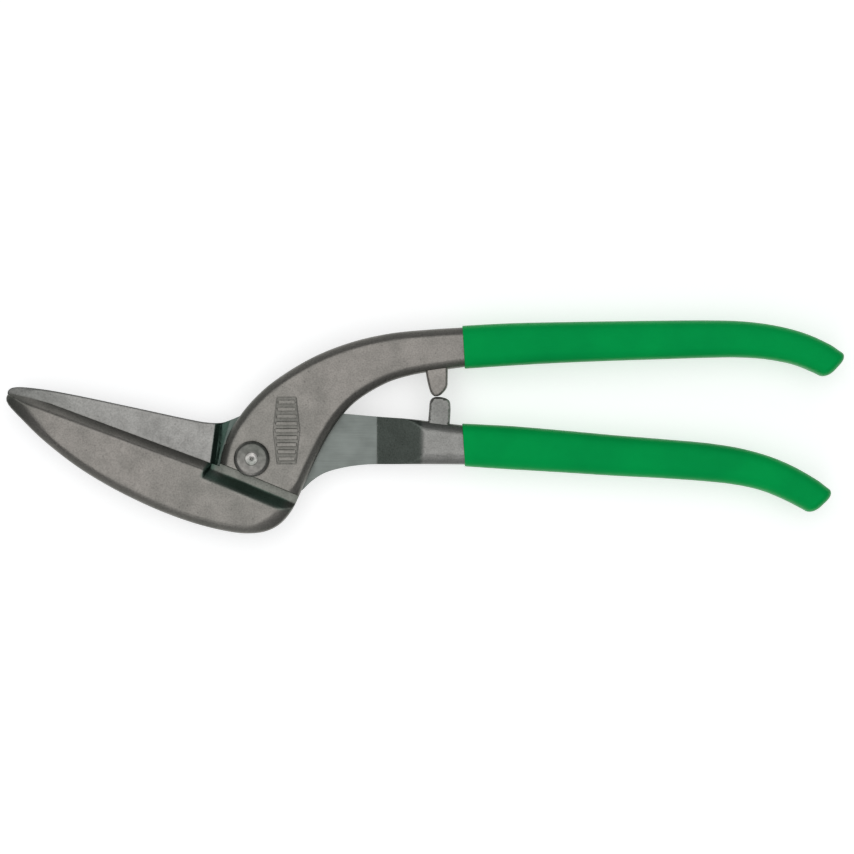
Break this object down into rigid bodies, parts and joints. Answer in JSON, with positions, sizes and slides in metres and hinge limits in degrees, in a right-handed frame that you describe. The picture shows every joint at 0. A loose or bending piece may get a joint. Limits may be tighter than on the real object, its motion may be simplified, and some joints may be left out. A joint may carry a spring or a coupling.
{
  "type": "pelican snips",
  "caption": "Through-cut sheet-metal snips: forged levers crossing at a bolted pivot, deep curved lower jaw, slim upper jaw and long dipped handles.",
  "frame": {"origin": "centre of the pivot bolt's end face, the lowest point of the tool as it lies face up", "axes": "+Z along the pivot axis towards the bolt's head, +X from the jaws towards the handles, +Y towards the upper handle"},
  "size_m": [0.3006, 0.0765, 0.0204],
  "materials": {
    "forging_front": "forged, shot-blasted and lightly oiled, ground at the cutting edge and lap",
    "forging_rear": "forged, shot-blasted and lightly oiled, ground at the cutting edge and lap",
    "dip_upper": "smooth dipped vinyl, satin gloss",
    "dip_lower": "smooth dipped vinyl, satin gloss",
    "bolt": "turned steel, lightly oiled",
    "washer": "hardened spring steel",
    "nut": "zinc plated",
    "ring": "nylon"
  },
  "bodies": {
    "rear_half": {"upper_jaw_lever": "forging_rear", "lower_grip": "dip_lower", "pivot_bolt": "bolt", "spring_washer": "washer", "lock_nut": "nut", "lock_ring": "ring"},
    "front_half": {"lower_jaw_lever": "forging_front", "upper_grip": "dip_upper"}
  },
  "joints": [
    {"name": "pivot", "type": "hinge", "parent": "rear_half", "child": "front_half", "pos_m": [0, 0, 0.013], "axis": [0, 0, 1], "range_deg": [0, 34]}
  ]
}
